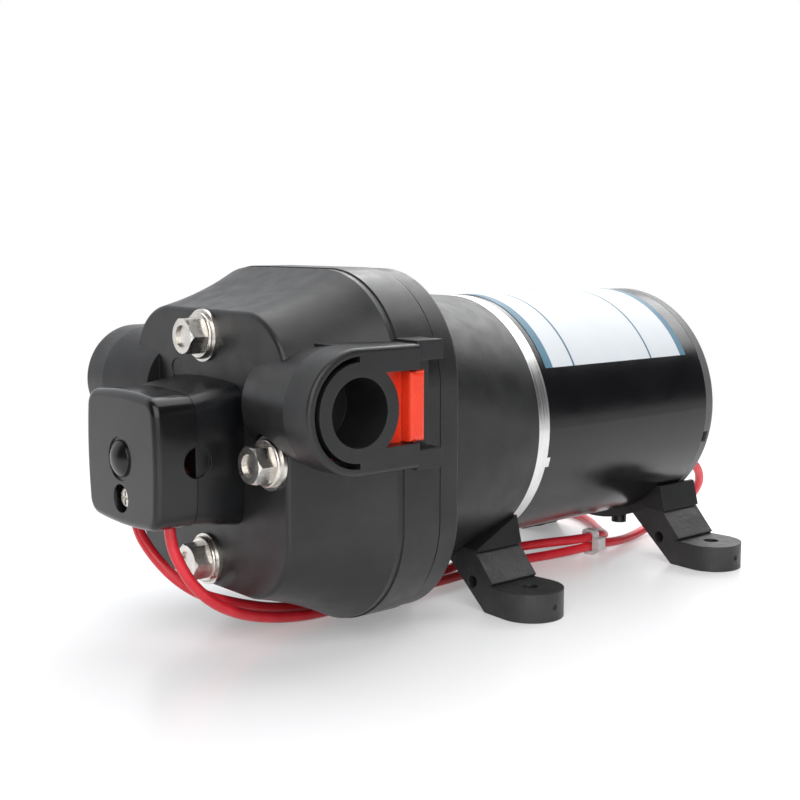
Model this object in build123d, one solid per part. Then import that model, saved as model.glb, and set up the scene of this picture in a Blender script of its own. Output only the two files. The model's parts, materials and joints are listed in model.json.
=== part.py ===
from build123d import *
import math
import os

# Caravan water pump: a four-chamber diaphragm pump head, wobble drive and 12 V motor on four rubber feet.
# Millimetres, +Z up, motor axis along Y, pump head towards -Y, ports along X.
# The origin is the centre of the four foot holes, on the surface the feet stand on.

# Overall places
axis_height = 57.0
head_reach = 136.5
foot_pitch_x = 95.0
foot_pitch_y = 95.0
cut_over = 2.0
fit_gap = 0.1
seat_gap = 0.3
running_gap = 0.05

# Pump cover: front face, bell, rim
cover_length = 45.3
cover_front_half = 41.0
cover_front_corner = 20.0
cover_edge_fillet = 1.4
bell_mid_half = 45.6
bell_mid_corner = 25.5
bell_mid_depth = 15.0
bell_depth = 29.8
rim_half = 52.4
rim_corner = 33.0
shoulder_bead = 0.4
shoulder_bead_length = 2.2
cover_wall = 4.0
inlet_room_half = 36.0
inlet_room_corner = 18.0
outlet_room_radius = 17.0
outlet_room_wall = 2.5
sense_hole_radius = 2.0
mark_radius = 3.0
mark_depth = 0.3
mark_x = -15.6
mark_rise = 22.5

# Ports and their slide clips
port_face_x = 60.5
port_setback = 9.9
port_rise = 15.8
port_bore_radius = 9.5
port_bore_depth = 18.0
nipple_radius = 13.5
moat_radius = 15.1
moat_depth = 6.0
frame_radius = 17.2
frame_depth = 11.0
frame_edge_fillet = 1.2
rail_length = 21.0
block_extra = 0.8
block_step = 1.3
block_length = 9.8
boss_root_radius = 14.5
boss_root_x = 26.0
passage_radius = 4.5
passage_wall = 3.0
clip_half = 9.85
clip_gap = 0.35
clip_bar_width = 5.4
clip_bar_start = 18.3
clip_bar_sink = 0.6
clip_plate = 2.4
clip_plate_depth = 7.5
clip_prong_inner = 10.0
clip_prong_width = 2.4
clip_prong_reach = 6.0
clip_travel = 5.5
clip_fillet = 1.4

# Bolts that hold the head together
bolt_circle_radius = 33.4
bolt_shank_radius = 2.95
bolt_hole_radius = 3.3
bolt_thread_radius = 3.0
bolt_flange_radius = 6.9
bolt_flange_thick = 1.5
bolt_hex_flats = 10.0
bolt_head_height = 6.6
bolt_dish_radius = 3.3
bolt_dish_depth = 0.9
bolt_length = 54.0
bolt_pillar_radius = 6.5
bolt_spot_radius = 8.4
washer_radius = 7.7
washer_thick = 1.0

# Pressure switch
switch_base_length = 15.4
switch_half_x = 20.4
switch_half_z = 19.4
switch_root_half_z = 21.4
switch_bulge = 1.3
switch_corner = 5.5
cap_depth = 13.0
cap_wall = 1.8
cap_fillet = 2.2
cap_lip = 0.35
notch_radius = 4.4
notch_recess = 0.8
dome_radius = 5.3
dome_height = 2.2
dome_ring_radius = 6.3
dome_ring_depth = 0.5
dome_stem_radius = 3.6
dome_stem_length = 3.0
cap_screw_drop = 11.4
cap_screw_hole_radius = 4.1
cap_screw_sink = 1.4
cap_screw_head_radius = 3.2
cap_screw_head_height = 1.8
cap_screw_shank_radius = 1.5
cap_screw_length = 12.0
cap_screw_boss_radius = 5.2
cross_width = 0.8
cross_depth = 0.9
cross_arm_share = 0.62
tower_radius = 7.6
tower_height = 5.3
tower_roof = 2.5
spring_room_radius = 6.05
adjuster_radius = 3.0
adjuster_tail = 2.0
adjuster_cup_radius = 5.4
adjuster_cup_thick = 1.4
sense_disc_radius = 9.0
sense_disc_thick = 1.5
plunger_radius = 5.6
plunger_thick = 1.5
plunger_stem_radius = 2.6
plunger_stem_length = 3.0
plunger_arm_half = 1.4
plunger_rod_radius = 1.1
plunger_rod_rise = 10.4
plunger_travel = 0.8
spring_radius = 4.3
spring_wire_radius = 0.5
spring_turns = 4
microswitch_width = 19.8
microswitch_height = 6.4
microswitch_depth = 8.2
microswitch_button_radius = 0.9
microswitch_button_length = 1.5
terminal_width = 3.2
terminal_thick = 0.6
terminal_length = 4.0
base_screw_x = 13.2
base_screw_rise = -5.0
base_screw_radius = 1.6
base_screw_head_radius = 3.0
base_screw_head_height = 1.9
base_screw_length = 13.9

# Valve plate, valves and diaphragm
recess_half = 47.0
recess_corner = 28.7
plate_thick = 12.5
chamber_pitch_radius = 23.3
chamber_angle = 45.0
chamber_radius = 13.6
chamber_depth = 7.3
inlet_valve_pitch_radius = 28.4
inlet_valve_radius = 5.4
inlet_valve_thick = 1.0
inlet_valve_seat_radius = 6.0
inlet_valve_seat_depth = 1.3
valve_stem_radius = 1.5
valve_bulb_radius = 2.2
valve_bulb_length = 1.4
valve_port_radius = 1.1
valve_port_spread = 3.4
outlet_port_radius = 1.4
outlet_port_pitch_radius = 13.2
outlet_port_spread_angle = 14.0
outlet_valve_radius = 16.0
outlet_valve_thick = 1.2
diaphragm_thick = 2.2
diaphragm_dome = 5.0
diaphragm_dome_radius = 13.0
diaphragm_clamp_radius = 7.2
diaphragm_wall = 1.2
diaphragm_clamp_thick = 1.6
piston_cap_radius = 6.2
piston_cap_thick = 1.6
piston_screw_radius = 1.4
piston_screw_head_radius = 2.7
piston_screw_length = 9.0

# Wobble drive
cam_angle = 4.0
wobble_web_front = 6.6
wobble_web_thick = 3.0
wobble_web_radius = 24.0
wobble_post_radius = 5.4
wobble_ring_radius = 20.6
bearing_bore_radius = 8.5
bearing_outer_radius = 17.5
bearing_width = 10.0
bearing_inner_wall = 2.6
bearing_outer_wall = 2.6
bearing_ball_radius = 2.9
bearing_ball_count = 9
hub_shoulder_radius = 10.4
hub_shoulder_thick = 3.0
hub_flat = 3.4

# Lower housing
seam_gap = 0.7
spigot_height = 1.5
flange_thick = 7.5
flange_fillet = 1.2
housing_length = 44.8
housing_root_half = 45.2
housing_root_corner = 31.0
housing_end_flat = 0.5
housing_wall = 6.0
housing_back_wall = 7.8
bolt_boss_length = 13.0
housing_screw_inset = 6.0
housing_screw_radius = 1.95
housing_screw_hole_radius = 2.2
housing_screw_head_radius = 3.6
housing_screw_head_height = 3.0
housing_screw_grip = 4.0

# Motor
motor_radius = 42.0
tube_wall = 2.2
plate_rim = 4.9
plate_pilot = 3.8
plate_boss_radius = 14.0
plate_boss_height = 7.8
saddle_overhang = 2.0
cap_rim = 5.6
cap_rear_fillet = 2.6
cap_boss_radius = 12.5
vent_slot_width = 4.0
vent_slot_length = 2.6
lock_tab_width = 3.4
lock_tab_length = 1.6
lock_angle = -15.0
shaft_radius = 4.0
motor_bearing_radius = 11.0
motor_bearing_width = 7.0
motor_bearing_wall = 2.4
motor_ball_radius = 1.5
motor_ball_count = 7
magnet_outer_clear = 0.15
magnet_thick = 6.6
magnet_overlap = 3.0
magnet_half_angle = 62.0
magnet_lead = 8.0
air_gap = 0.85
core_slots = 12
core_hub_radius = 13.0
slot_lip = 5.2
slot_width = 6.4
slot_mouth = 2.2
coil_overhang = 5.5
coil_ring_inset = 3.2
coil_ring_clear = 2.0
commutator_radius = 11.0
commutator_length = 12.0
commutator_segments = 12
commutator_cut = 0.5
commutator_gap = 2.0
brush_width = 6.0
brush_height = 8.0
brush_length = 10.0
brush_holder_wall = 0.8
brush_spring_length = 7.0
brush_spring_radius = 2.2
brush_spring_wire_radius = 0.35
brush_spring_turns = 5
brush_plate_thick = 2.0
brush_plate_clear = 0.5
brush_plate_bore = 14.0
tie_bolt_radius = 1.95
tie_bolt_inset = 3.5
tie_bolt_head_radius = 3.8
tie_bolt_head_height = 2.4
label_thick = 0.15
label_margin_front = 2.6
label_margin_rear = 7.0
label_start_angle = 27.6
label_end_angle = 154.0

# Saddles, wings and rubber feet
saddle_thick = 3.1
saddle_drop = 29.0
leg_width = 20.0
wing_top_x = 31.7
wing_bottom_x = 34.0
wing_drop = 38.0
gusset_rise = 0.8
wing_tongue_in = 28.6
wing_tongue_out = 32.4
wing_tongue_length = 6.4
wing_tongue_half = 6.0
foot_thick = 9.0
foot_base_x = 37.3
foot_top_x = 33.4
foot_shin_x = 40.8
foot_inner_x = 15.8
foot_pad_radius = 10.8
foot_top_chamfer = 0.7
foot_undercut = 0.9
foot_hole_radius = 2.6
foot_cross_radius = 2.0
foot_cross_x = 31.6
foot_cross_height = 9.0
foot_mark_radius = 0.9
foot_mark_depth = 0.6
bracket_screw_x = 10.0
bracket_screw_setback = 3.2
bracket_screw_radius = 1.5
bracket_screw_head_radius = 2.8
bracket_screw_head_height = 1.6
bracket_screw_grip = 3.2

# Leads, their grommets, tie and coil
wire_radius = 1.7
grommet_x = 19.0
grommet_drop = 24.0
grommet_spread = 12.0
grommet_flange_radius = 4.4
grommet_flange_thick = 1.6
grommet_neck_radius = 3.2
grommet_taper_length = 3.2
inner_lead_length = 14.0
tie_band = 1.2
tie_width = 2.6
tie_room = 0.1
tie_x = 8.3
tie_y = 26.5
tie_turn = 2.0
tie_lock = 4.2
tie_lock_height = 2.4
wire_stack_gap = 0.2
coil_x = -67.0
coil_y = 1.0
coil_outer_radius = 24.5
coil_end_radius = 9.5
coil_pitch = 4.2
coil_turns = 3
coil_tie_band = 0.6
coil_samples = 400
bare_end_radius = 1.0
bare_end_length = 5.0

# Routes of the two leads, from the switch cap to where they end
motor_lead_route = [
    (10.0, -155.4, 41.5), (10.0, -155.4, 33.6), (12.2, -153.4, 26.4), (12.2, -149.0, 19.4),
    (11.6, -141.0, 12.3), (9.6, -129.5, 6.6), (8.9, -116.0, 3.2), (8.2, -102.0, 1.7),
    (6.4, -86.0, 1.7), (5.2, -66.0, 1.7), (4.7, -44.0, 1.7), (1.9, -24.0, 1.7),
    (1.6, -8.0, 1.7), (5.2, 7.0, 2.0), (8.6, 19.6, 3.0), (8.1, 33.0, 3.0),
    (7.2, 44.6, 2.0), (4.4, 56.0, 1.7), (1.8, 66.0, 2.2), (2.8, 76.0, 5.2),
    (8.0, 83.0, 11.2), (14.4, 84.4, 19.4), (18.2, 79.6, 27.0), (19.0, 71.0, 33.0), (19.0, 60.3, 33.0),
]
supply_lead_route = [
    (-9.4, -155.4, 41.5), (-9.4, -155.4, 34.6), (-3.6, -153.8, 27.4), (1.6, -149.6, 20.4),
    (5.0, -143.0, 14.8), (5.2, -134.0, 11.0), (2.6, -124.0, 7.2), (0.8, -113.0, 3.8), (-0.6, -101.0, 1.8),
    (0.2, -82.0, 1.7), (0.9, -62.0, 1.7), (-0.6, -43.0, 2.4),
    (-3.0, -25.0, 4.4), (-2.2, -8.0, 5.5), (3.0, 7.6, 6.2), (8.5, 19.6, 6.6), (8.0, 32.4, 6.6),
    (3.4, 40.6, 4.4), (-5.0, 48.4, 2.4), (-15.6, 57.0, 1.7), (-26.6, 65.0, 1.7), (-39.0, 69.4, 1.7),
    (-52.0, 69.8, 1.7), (-65.0, 66.0, 1.7), (-77.0, 57.0, 1.7), (-86.0, 45.0, 1.8),
    (-89.8, 30.5, 2.1), (-90.85, 17.0, 2.4), (-90.85, 4.4, 2.4),
]

# Stations along Y, worked out from the lengths above
cover_front = -head_reach
cover_rear = cover_front + cover_length
shoulder = cover_front + bell_depth
cap_parting = cover_front - switch_base_length
cap_front = cap_parting - cap_depth
cap_screw_seat = cap_front + cap_screw_sink + cap_screw_head_height
flange_front = cover_rear + seam_gap
spigot_front = flange_front - spigot_height
diaphragm_front = spigot_front - diaphragm_thick
plate_front = diaphragm_front - plate_thick
chamber_floor = diaphragm_front - chamber_depth
flange_rear = flange_front + flange_thick
housing_rear = flange_rear + housing_length
housing_floor = housing_rear - housing_back_wall
tube_front = housing_rear + plate_rim
foot_x = foot_pitch_x / 2
foot_y = foot_pitch_y / 2
motor_rear = foot_y + leg_width / 2 - saddle_overhang
tube_rear = motor_rear - cap_rim
port_y = cover_front + port_setback
port_z = axis_height + port_rise
clamp_front = spigot_front - diaphragm_dome
clamp_rear = clamp_front + diaphragm_clamp_thick
pivot_y = clamp_rear
web_front = clamp_rear + wobble_web_front
web_rear = web_front + wobble_web_thick
bearing_rear = web_rear + bearing_width
tube_bore = motor_radius - tube_wall
saddle_radius = motor_radius + saddle_thick
tower_front = cap_parting - tower_height
tower_ceiling = tower_front + tower_roof
sense_front = cover_front - sense_disc_thick
plunger_front = sense_front - plunger_thick
cup_rear = tower_ceiling + adjuster_cup_thick
rod_end = cap_parting + seat_gap
button_end = rod_end - microswitch_button_length
front_bearing_front = housing_rear - plate_boss_height
rear_bearing_rear = tube_rear + cap_rim / 2
rear_bearing_front = rear_bearing_rear - motor_bearing_width
brush_plate_rear = rear_bearing_front - brush_plate_clear
brush_plate_front = brush_plate_rear - brush_plate_thick
commutator_rear = brush_plate_front - commutator_gap
commutator_front = commutator_rear - commutator_length
coil_end = commutator_front - commutator_gap
core_rear = coil_end - coil_overhang
core_front = tube_front + magnet_lead + magnet_overlap
magnet_front = tube_front + magnet_lead
magnet_rear = core_rear + magnet_overlap
magnet_outer = tube_bore - magnet_outer_clear
magnet_inner = magnet_outer - magnet_thick
core_radius = magnet_inner - air_gap
slot_depth = core_radius - core_hub_radius - slot_lip
coil_ring_outer = core_radius - coil_ring_inset
coil_ring_inner = core_hub_radius + coil_ring_clear
tie_bolt_circle_radius = tube_bore - tie_bolt_inset
housing_room_radius = motor_radius - housing_wall
spigot_half = recess_half - seat_gap
housing_screw_pitch_radius = housing_room_radius - housing_screw_inset
saddle_top = axis_height - saddle_drop
wing_bottom = axis_height - wing_drop
wing_tongue_bottom = wing_bottom - wing_tongue_length
bracket_screw_y = foot_y - leg_width / 2 + bracket_screw_setback
coil_z = wire_radius + tie_room + coil_tie_band


def station(y):
    # A sketch plane across the motor axis that looks forward: local x is X, local y is Z
    return Plane(origin=(0, y, axis_height), x_dir=(1, 0, 0), z_dir=(0, -1, 0))


def slab(sketch, front, rear):
    return extrude(station(rear) * sketch, amount=rear - front)


def disc(radius, front, rear, x=0, z=0):
    return slab(Pos(x, z) * Circle(radius), front, rear)


def tube(outer, inner, front, rear, x=0, z=0):
    return disc(outer, front, rear, x, z) - disc(inner, front - cut_over, rear + cut_over, x, z)


def rounded(half_x, half_z, corner):
    return RectangleRounded(2 * half_x, 2 * half_z, corner)


def block(x_range, y_range, z_range):
    size = [high - low for low, high in (x_range, y_range, z_range)]
    middle = [(high + low) / 2 for low, high in (x_range, y_range, z_range)]
    return Pos(*middle) * Box(*size)


def side_plane(x):
    # A sketch plane square to X: local x is Y, local y is Z
    return Plane(origin=(x, port_y, port_z), x_dir=(0, 1, 0), z_dir=(1, 0, 0))


def side_slab(sketch, start, end):
    return extrude(side_plane(start) * sketch, amount=end - start)


def side_disc(radius, start, end):
    return side_slab(Circle(radius), start, end)


def side_block(start, end, y_low, y_high, z_half):
    return side_slab(Pos((y_low + y_high) / 2, 0) * Rectangle(y_high - y_low, 2 * z_half), start, end)


def tilted(shape):
    # The wobble pieces are drawn square to the motor axis and then leaned about the cam's crossing point
    lean = Pos(0, pivot_y, axis_height) * Rot(cam_angle, 0, 0) * Pos(0, -pivot_y, -axis_height)
    return lean * shape


def around(count, radius, start_angle=0):
    # Places on a circle about the motor axis, as x and height above the axis
    angles = [math.radians(start_angle + 360 * index / count) for index in range(count)]
    return [(radius * math.cos(angle), radius * math.sin(angle)) for angle in angles]


def both_sides(shape):
    return [shape, mirror(shape, about=Plane.YZ)]


def together(shapes):
    return Compound(children=[solid for shape in shapes for solid in shape.solids()])


def fuse_all(shapes):
    whole = shapes[0]
    for shape in shapes[1:]:
        whole = whole + shape
    return whole


def coil_spring(radius, wire, pitch, height, place):
    # An open coil spring whose axis is the place's Z
    path = Helix(pitch=pitch, height=height, radius=radius)
    section = Plane(origin=path @ 0, z_dir=path % 0) * Circle(wire)
    return place * sweep(section, path=path)


bolt_places = around(4, bolt_circle_radius)
chamber_places = around(4, chamber_pitch_radius, chamber_angle)
inlet_valve_places = around(4, inlet_valve_pitch_radius, chamber_angle)
housing_screw_places = around(4, housing_screw_pitch_radius, chamber_angle)


# Pump cover

def cover_outside():
    face = station(cover_front) * rounded(cover_front_half, cover_front_half, cover_front_corner)
    middle = station(cover_front + bell_mid_depth) * rounded(bell_mid_half, bell_mid_half, bell_mid_corner)
    edge = station(shoulder) * rounded(rim_half, rim_half, rim_corner)
    bell = loft([face, middle, edge])
    front_edges = bell.edges().filter_by_position(Axis.Y, cover_front - seat_gap, cover_front + seat_gap)
    bell = fillet(front_edges, cover_edge_fillet)
    rim = slab(rounded(rim_half, rim_half, rim_corner), shoulder, cover_rear)
    bead_half = rim_half + shoulder_bead
    bead = slab(rounded(bead_half, bead_half, rim_corner + shoulder_bead),
                shoulder + shoulder_bead_length, cover_rear)
    return bell + rim + bead


def port_body():
    cone_face = side_plane(boss_root_x) * Circle(boss_root_radius)
    cone_end = side_plane(port_face_x - frame_depth) * Circle(frame_radius)
    cone = loft([cone_face, cone_end])
    outline = Circle(frame_radius) + Pos(rail_length / 2, 0) * Rectangle(rail_length, 2 * frame_radius)
    frame = side_slab(outline, port_face_x - frame_depth, port_face_x)
    front_edges = [edge for edge in frame.faces().sort_by(Axis.X)[-1].edges()
                   if edge.center().Y < port_y + rail_length - seat_gap]
    frame = fillet(front_edges, frame_edge_fillet)
    rails = side_block(inlet_room_half, port_face_x - frame_depth + seat_gap, 0, rail_length, frame_radius)
    blocks = side_block(inlet_room_half, port_face_x - block_step, rail_length,
                        rail_length + block_length, frame_radius + block_extra)
    return cone + frame + rails + blocks


def port_cuts():
    over_face = port_face_x + cut_over
    moat_floor = port_face_x - moat_depth
    plate_low = port_face_x - clip_plate_depth - fit_gap
    slot_top = plate_low + clip_plate + 2 * fit_gap
    block_end = rail_length + block_length + cut_over
    rail_room_end = clip_bar_start + clip_bar_width + clip_travel + seat_gap
    room_half = clip_half + clip_gap
    prong_outer = clip_prong_inner + clip_prong_width + fit_gap
    prong_middle = clip_prong_inner + clip_prong_width / 2
    moat = side_disc(moat_radius, moat_floor, over_face)
    moat = moat - side_block(moat_floor, over_face, 0, moat_radius + cut_over, moat_radius + cut_over)
    room = side_block(moat_floor, over_face, 0, rail_room_end, room_half)
    web_room = side_block(plate_low, slot_top, 0, block_end, prong_outer)
    open_end = side_block(plate_low, over_face, rail_length, block_end, prong_outer)
    space = moat + room + web_room + open_end
    space = space - side_disc(nipple_radius, plate_low - cut_over, over_face)
    for side in (-1, 1):
        slot = side_block(plate_low, slot_top, -clip_prong_reach - seat_gap, nipple_radius,
                          clip_prong_width / 2 + fit_gap)
        space = space + Pos(0, 0, side * prong_middle) * slot
    return space + side_disc(port_bore_radius, port_face_x - port_bore_depth, over_face)


def head_cover():
    body = cover_outside()
    body = fuse_all([body] + both_sides(port_body()))
    room_front = cover_front + cover_wall
    room = slab(rounded(inlet_room_half, inlet_room_half, inlet_room_corner), room_front, plate_front)
    inner_wall = outlet_room_radius + outlet_room_wall
    keep = disc(inner_wall, room_front, plate_front)
    for x, z in bolt_places:
        keep = keep + disc(bolt_pillar_radius, room_front, plate_front, x, z)
    keep = keep + side_disc(passage_radius + passage_wall, 0, inlet_room_half + cut_over)
    room = room - keep
    outlet_room = disc(outlet_room_radius, room_front, plate_front)
    recess = slab(rounded(recess_half, recess_half, recess_corner), plate_front, cover_rear + cut_over)
    body = body - room - outlet_room - recess
    bore_end = port_face_x - port_bore_depth
    body = body - side_disc(passage_radius, 0, bore_end + cut_over)
    inlet_passage = side_disc(passage_radius, inlet_room_half - cut_over, bore_end + cut_over)
    body = body - mirror(inlet_passage, about=Plane.YZ)
    for cuts in both_sides(port_cuts()):
        body = body - cuts
    for x, z in bolt_places:
        body = body - disc(bolt_hole_radius, cover_front - cut_over, plate_front + cut_over, x, z)
        body = body - disc(bolt_spot_radius, cover_front - frame_radius, cover_front, x, z)
    for side in (-1, 1):
        body = body - disc(base_screw_radius, cover_front - cut_over, room_front - cover_wall / 4,
                           side * base_screw_x, base_screw_rise)
    body = body - disc(sense_hole_radius, cover_front - cut_over, room_front + cut_over)
    return body - disc(mark_radius, cover_front - cut_over, cover_front + mark_depth, mark_x, mark_rise)


def slide_clip():
    bar_low = port_face_x - clip_plate_depth
    web_top = bar_low + clip_plate
    bar_end = clip_bar_start + clip_bar_width
    prong_outer = clip_prong_inner + clip_prong_width
    bar = side_block(bar_low, port_face_x - clip_bar_sink, clip_bar_start, bar_end, clip_half)
    bar = fillet(bar.faces().sort_by(Axis.X)[-1].edges(), clip_fillet)
    web = side_block(bar_low, web_top, 0, bar_end, prong_outer)
    web = web - side_disc(nipple_radius + seat_gap, bar_low - cut_over, web_top + cut_over)
    clip = bar + web
    for side in (-1, 1):
        prong = side_block(bar_low, web_top, -clip_prong_reach, bar_end - clip_bar_width, clip_prong_width / 2)
        clip = clip + Pos(0, 0, side * (clip_prong_inner + clip_prong_width / 2)) * prong
    return clip


# Head bolts and washers

def hex_bolt():
    washer_front = cover_front - washer_thick
    flange_face = washer_front - bolt_flange_thick
    head_face = washer_front - bolt_head_height
    flange = disc(bolt_flange_radius, flange_face, washer_front)
    rim_edges = flange.edges().sort_by(Axis.Y)[0]
    flange = fillet(rim_edges, bolt_flange_thick / 2)
    hexagon = slab(RegularPolygon(bolt_hex_flats / 2, 6, major_radius=False), head_face, flange_face)
    crown = Plane(origin=(0, head_face, axis_height), z_dir=(0, 1, 0))
    crown_cone = crown * Pos(0, 0, bolt_head_height / 2) * Cone(
        bolt_hex_flats / 2, bolt_hex_flats / 2 + bolt_head_height, bolt_head_height)
    hexagon = hexagon & crown_cone
    dish = disc(bolt_dish_radius, head_face - cut_over, head_face + bolt_dish_depth)
    shank = disc(bolt_shank_radius, washer_front, washer_front + bolt_length)
    return flange + hexagon - dish + shank


def head_bolts():
    return together([Pos(x, 0, z) * hex_bolt() for x, z in bolt_places])


def head_washers():
    return together([tube(washer_radius, bolt_hole_radius, cover_front - washer_thick, cover_front, x, z)
                     for x, z in bolt_places])


# Pressure switch

def barrel(half_x, half_z, corner=switch_corner, bulge=switch_bulge):
    # A square with slightly bowed sides and round corners
    in_x = half_x - bulge
    in_z = half_z - bulge
    sides = [
        ThreePointArc((-in_x, -in_z), (0, -half_z), (in_x, -in_z)),
        ThreePointArc((in_x, -in_z), (half_x, 0), (in_x, in_z)),
        ThreePointArc((in_x, in_z), (0, half_z), (-in_x, in_z)),
        ThreePointArc((-in_x, in_z), (-half_x, 0), (-in_x, -in_z)),
    ]
    face = make_face(sides)
    return fillet(face.vertices(), corner)


def side_notch(start):
    # The round break-out on the +X side, centred on the parting line, from the depth given outwards
    plane = Plane(origin=(start, cap_parting, axis_height), x_dir=(0, 1, 0), z_dir=(1, 0, 0))
    return extrude(plane * Circle(notch_radius), amount=switch_half_x - start + cut_over)


def switch_base():
    root = station(cover_front) * barrel(switch_half_x, switch_root_half_z)
    top = station(cap_parting) * barrel(switch_half_x - cap_lip, switch_half_z - cap_lip)
    body = loft([root, top])
    body = body + disc(tower_radius, tower_front, cap_parting + cut_over)
    body = body + disc(cap_screw_boss_radius, cap_screw_seat + cap_wall + seat_gap,
                       cap_parting + cut_over, 0, -cap_screw_drop)
    body = body - disc(spring_room_radius, tower_ceiling, cover_front + cut_over)
    body = body - disc(sense_disc_radius + fit_gap, sense_front, cover_front + cut_over)
    body = body - disc(adjuster_radius + running_gap, tower_front - cut_over, tower_ceiling + cut_over)
    arm_room = plunger_arm_half + seat_gap
    arm_front = plunger_front - plunger_travel - seat_gap
    arm_top = axis_height + plunger_rod_rise + plunger_rod_radius + seat_gap
    body = body - block((-arm_room, arm_room), (arm_front, cover_front + cut_over), (axis_height, arm_top))
    body = body - disc(plunger_rod_radius + seat_gap, cap_parting - cut_over, cover_front, 0, plunger_rod_rise)
    body = body - disc(cap_screw_shank_radius, cap_front, cap_screw_seat + cap_screw_length, 0, -cap_screw_drop)
    for side in (-1, 1):
        x = side * base_screw_x
        seat = cap_parting + base_screw_head_height
        body = body - disc(base_screw_radius + fit_gap, cap_parting, cover_front + cut_over, x, base_screw_rise)
        body = body - disc(base_screw_head_radius + fit_gap, cap_parting - cut_over, seat, x, base_screw_rise)
    return body - side_notch(switch_half_x - cap_lip - notch_recess)


def switch_cap():
    outer = slab(barrel(switch_half_x, switch_half_z), cap_front, cap_parting)
    outer = fillet(outer.faces().sort_by(Axis.Y)[0].edges(), cap_fillet)
    inner = slab(barrel(switch_half_x - cap_wall, switch_half_z - cap_wall, switch_corner - cap_wall),
                 cap_front + cap_wall, cap_parting + cut_over)
    boss = disc(cap_screw_boss_radius, cap_front + cap_wall / 2, cap_screw_seat + cap_wall, 0, -cap_screw_drop)
    body = (outer - inner) + boss
    body = body - disc(cap_screw_hole_radius, cap_front - cut_over, cap_screw_seat, 0, -cap_screw_drop)
    body = body - disc(cap_screw_shank_radius + fit_gap, cap_front, cap_parting, 0, -cap_screw_drop)
    ring_groove = tube(dome_ring_radius, dome_radius, cap_front - cut_over, cap_front + dome_ring_depth)
    body = body - ring_groove - disc(dome_stem_radius + running_gap, cap_front - cut_over, cap_parting)
    body = body - side_notch(switch_half_x - 2 * cap_wall)
    for route in (motor_lead_route, supply_lead_route):
        x, y, _ = route[0]
        body = body - Pos(x, y, axis_height - switch_half_z) * Cylinder(wire_radius + fit_gap, 4 * cap_wall)
    return body


def switch_plug():
    dome_sphere = (dome_radius ** 2 + dome_height ** 2) / (2 * dome_height)
    ball = Pos(0, cap_front - dome_height + dome_sphere, axis_height) * Sphere(dome_sphere)
    dome = ball & disc(dome_radius, cap_front - dome_height, cap_front)
    return dome + disc(dome_stem_radius, cap_front, cap_front + dome_stem_length)


def cross_head(radius, height, face, x=0, z=0):
    head = disc(radius, face, face + height, x, z)
    head = fillet(head.edges().sort_by(Axis.Y)[0], height / 2)
    arm = radius * cross_arm_share
    for half_x, half_z in ((arm, cross_width / 2), (cross_width / 2, arm)):
        recess = Pos(x, z) * Rectangle(2 * half_x, 2 * half_z)
        head = head - slab(recess, face - cut_over, face + cross_depth)
    return head


def screw(head_radius, head_height, shank_radius, length, face, x=0, z=0):
    head = cross_head(head_radius, head_height, face, x, z)
    return head + disc(shank_radius, face + head_height, face + head_height + length, x, z)


def switch_cap_screw():
    return screw(cap_screw_head_radius, cap_screw_head_height, cap_screw_shank_radius, cap_screw_length,
                 cap_front + cap_screw_sink, 0, -cap_screw_drop)


def switch_base_screws():
    return together([screw(base_screw_head_radius, base_screw_head_height, base_screw_radius, base_screw_length,
                           cap_parting, side * base_screw_x, base_screw_rise) for side in (-1, 1)])


def pressure_adjust_screw():
    stem = disc(adjuster_radius, tower_front - adjuster_tail, tower_ceiling)
    slot = block((-adjuster_radius, adjuster_radius),
                 (tower_front - adjuster_tail - cut_over, tower_front - adjuster_tail + cross_depth),
                 (axis_height - cross_width / 2, axis_height + cross_width / 2))
    return stem - slot + disc(adjuster_cup_radius, tower_ceiling, cup_rear)


def switch_diaphragm():
    return disc(sense_disc_radius, sense_front, cover_front)


def switch_plunger():
    body = disc(plunger_radius, plunger_front, sense_front)
    body = body + disc(plunger_stem_radius, plunger_front - plunger_stem_length, plunger_front)
    top = axis_height + plunger_rod_rise
    body = body + block((-plunger_arm_half, plunger_arm_half), (plunger_front, sense_front), (axis_height, top))
    return body + disc(plunger_rod_radius, rod_end, sense_front, 0, plunger_rod_rise)


def switch_spring():
    low = plunger_front - spring_wire_radius
    high = cup_rear + spring_wire_radius
    height = low - high
    place = Plane(origin=(0, low, axis_height), x_dir=(1, 0, 0), z_dir=(0, -1, 0))
    return coil_spring(spring_radius, spring_wire_radius, height / spring_turns, height, place.location)


def microswitch():
    front = cap_parting - seat_gap - microswitch_depth
    low = axis_height + tower_radius + fit_gap
    high = low + microswitch_height
    half = microswitch_width / 2
    body = block((-half, half), (front, cap_parting), (low, high))
    body = body - disc(microswitch_button_radius + running_gap, button_end - plunger_travel - seat_gap,
                       cap_parting + cut_over, 0, plunger_rod_rise)
    body = body - disc(plunger_rod_radius + fit_gap, rod_end - plunger_travel - seat_gap,
                       cap_parting + cut_over, 0, plunger_rod_rise)
    for route in (motor_lead_route, supply_lead_route):
        x = route[0][0] - math.copysign(terminal_width / 2, route[0][0])
        blade = block((x - terminal_width / 2, x + terminal_width / 2),
                      (front + terminal_thick, front + 2 * terminal_thick), (low - terminal_length, low))
        body = body + blade
    return body


def microswitch_button():
    return disc(microswitch_button_radius, button_end, rod_end, 0, plunger_rod_rise)


# Valve plate and valves

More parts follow.
